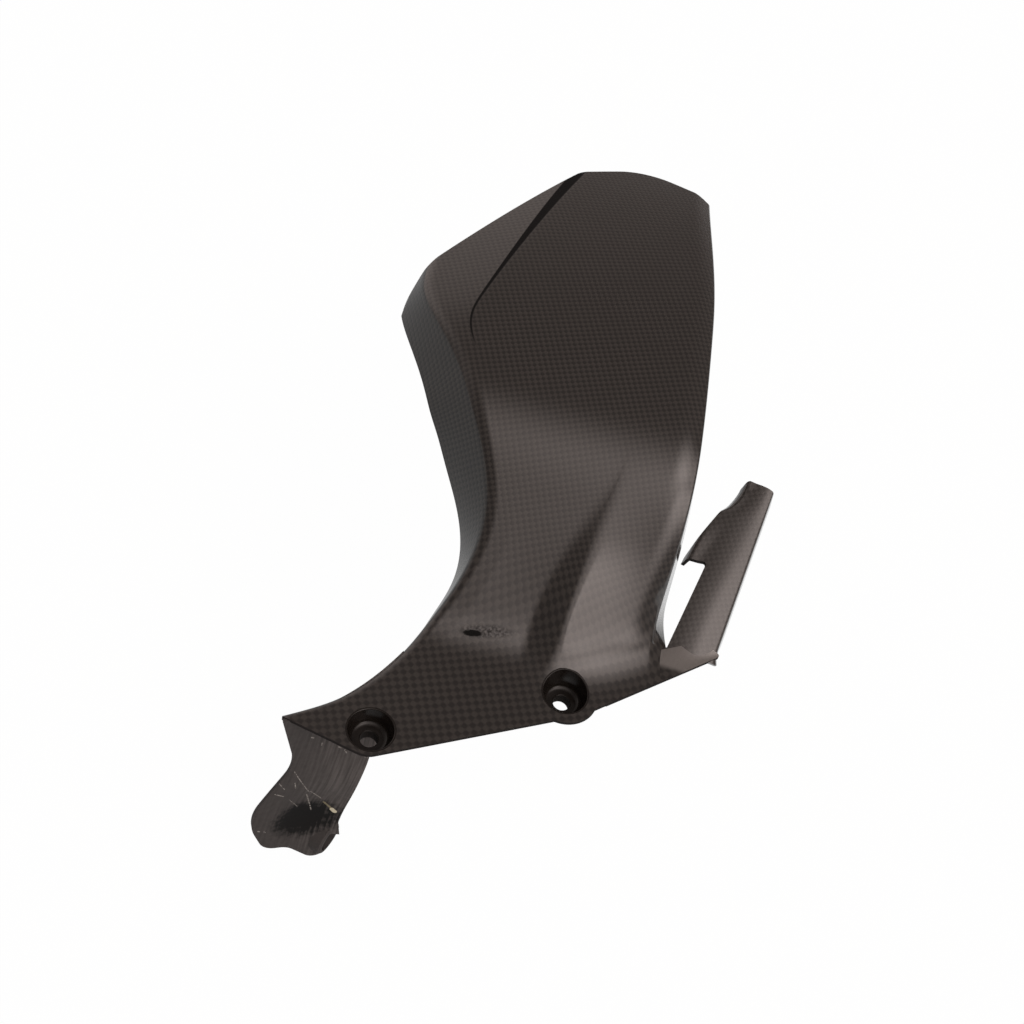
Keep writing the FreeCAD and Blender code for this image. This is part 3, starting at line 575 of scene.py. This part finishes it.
chip = streak((23.2, -66.6), (24.2, -67.8), 1.35) * (0.3 + grain * 1.4)
chip.fade(0.35, 0.7).mix(face, CHIP_TONE).feed(worn_shader, "Base Color")
worn_shader.inputs["Roughness"].default_value = TAB_ROUGH
worn_shader.inputs["Specular IOR Level"].default_value = TAB_SPECULAR
dress(tab, scuffed)
dress(boss, scuffed)

# Studio: the camera at the photo's angle, solved from the bolt cups, over a white floor.
# The light is soft round patches on a dim warm sky, and the floor glows for the camera and in reflections.
LOOK_DOWN, ROLL = math.radians(49.0), math.radians(16.5)
FOCAL_PX, PLATE_PX, PLATE_AWAY = 1445.0, (470.4, 710.8), 0.529
PHOTO_PX, SENSOR, CLIP_NEAR = 1024, 36.0, 0.01
PAPER_HALF, PAPER_Z, PAPER_GLOW = 4.0, -0.0835, 0.985
PAPER_TONE, PAPER_ROUGH, PAPER_DIM = (0.86, 0.86, 0.86, 1), 0.9, 0.6
WHITE, BLACK = (1, 1, 1, 1), (0, 0, 0, 1)
ahead = np.array([0, math.cos(LOOK_DOWN), -math.sin(LOOK_DOWN)])
level, steep = np.array([1.0, 0, 0]), np.array([0, math.sin(LOOK_DOWN), math.cos(LOOK_DOWN)])
cam_x = math.cos(ROLL) * level + math.sin(ROLL) * steep
cam_y = -math.sin(ROLL) * level + math.cos(ROLL) * steep
off_x, off_y = [(px - PHOTO_PX / 2) / FOCAL_PX for px in PLATE_PX]
ray = ahead + off_x * cam_x - off_y * cam_y
spot = np.array([0, 0, PLATE_TOP * MM]) - ray * PLATE_AWAY
camera = bpy.data.objects.new("camera", bpy.data.cameras.new("camera"))
scene.collection.objects.link(camera)
camera.matrix_world = Matrix(np.vstack([np.column_stack([cam_x, cam_y, -ahead, spot]), [0, 0, 0, 1]]).tolist())
camera.data.sensor_width, camera.data.lens = SENSOR, FOCAL_PX / PHOTO_PX * SENSOR
camera.data.clip_start = CLIP_NEAR
scene.camera = camera

floor_mesh = bpy.data.meshes.new("floor")
ends = ((-1, -1), (1, -1), (1, 1), (-1, 1))
floor_mesh.from_pydata([(x * PAPER_HALF, y * PAPER_HALF, PAPER_Z) for x, y in ends], [], [(0, 1, 2, 3)])
floor = bpy.data.objects.new("floor", floor_mesh)
scene.collection.objects.link(floor)
paper, paper_shader, paper_kit = blank("paper")
seen = [paper_kit.node("ShaderNodeLightPath", out=f"Is {kind} Ray")
        for kind in ("Camera", "Glossy", "Transmission")]
paper_shader.inputs["Base Color"].default_value = PAPER_TONE
paper_shader.inputs["Roughness"].default_value = PAPER_ROUGH
paper_place = paper_kit.node("ShaderNodeTexCoord", out="Object")
across_floor = paper_kit.node("ShaderNodeSeparateXYZ", Vector=paper_place)
dim = seen[1] * across_floor.fade(0.12, -0.06) * PAPER_DIM
glow = paper_kit.node("ShaderNodeEmission", Color=dim.mix(WHITE, BLACK), Strength=1.0)
shown = paper_kit.node("ShaderNodeMixShader", i0=(seen[0] + seen[1] + seen[2]) * PAPER_GLOW,
                       i1=Sock(paper.node_tree, paper_shader.outputs[0]), i2=glow)
shown.feed(paper.node_tree.nodes["Material Output"], "Surface")
floor_mesh.materials.append(paper)

world = bpy.data.worlds.new("studio")
scene.world = world
world.use_nodes = True
room = Sock(world.node_tree, None)
facing = room.node("ShaderNodeTexCoord", out="Generated")
# Each patch has a direction, the angles in degrees where it ends and is full, and a strength.
PATCHES = (((0.4, -0.42, 0.82), 53.0, 4.0, 1.55), ((0.48, -0.28, 0.83), 24.0, 2.0, 0.8),
           ((0.72, -0.52, 0.46), 24.0, 6.0, 2.0), ((-0.75, 0.55, 0.35), 55.0, 15.0, 0.6),
           ((0.55, 0.0, 0.83), 27.0, 4.0, 1.4))
SKY_DIM, SKY_WARM = 0.22, (1.0, 0.87, 0.82)
bright = SKY_DIM
for way, wide, narrow, strength in PATCHES:
    aim = (np.array(way) / np.linalg.norm(way)).tolist()
    near = room.node("ShaderNodeVectorMath", {"operation": "DOT_PRODUCT"}, out="Value", i0=facing, i1=aim)
    bright = bright + room.math("ARCCOSINE", near).fade(math.radians(wide), math.radians(narrow)) * strength
sky = world.node_tree.nodes["Background"]
behind = room.node("ShaderNodeLightPath", out="Is Camera Ray")
warm = room.node("ShaderNodeVectorMath", {"operation": "SCALE"}, i0=SKY_WARM, Scale=bright)
behind.mix(warm, WHITE).feed(sky, "Color")

scene.view_settings.view_transform = "Standard"
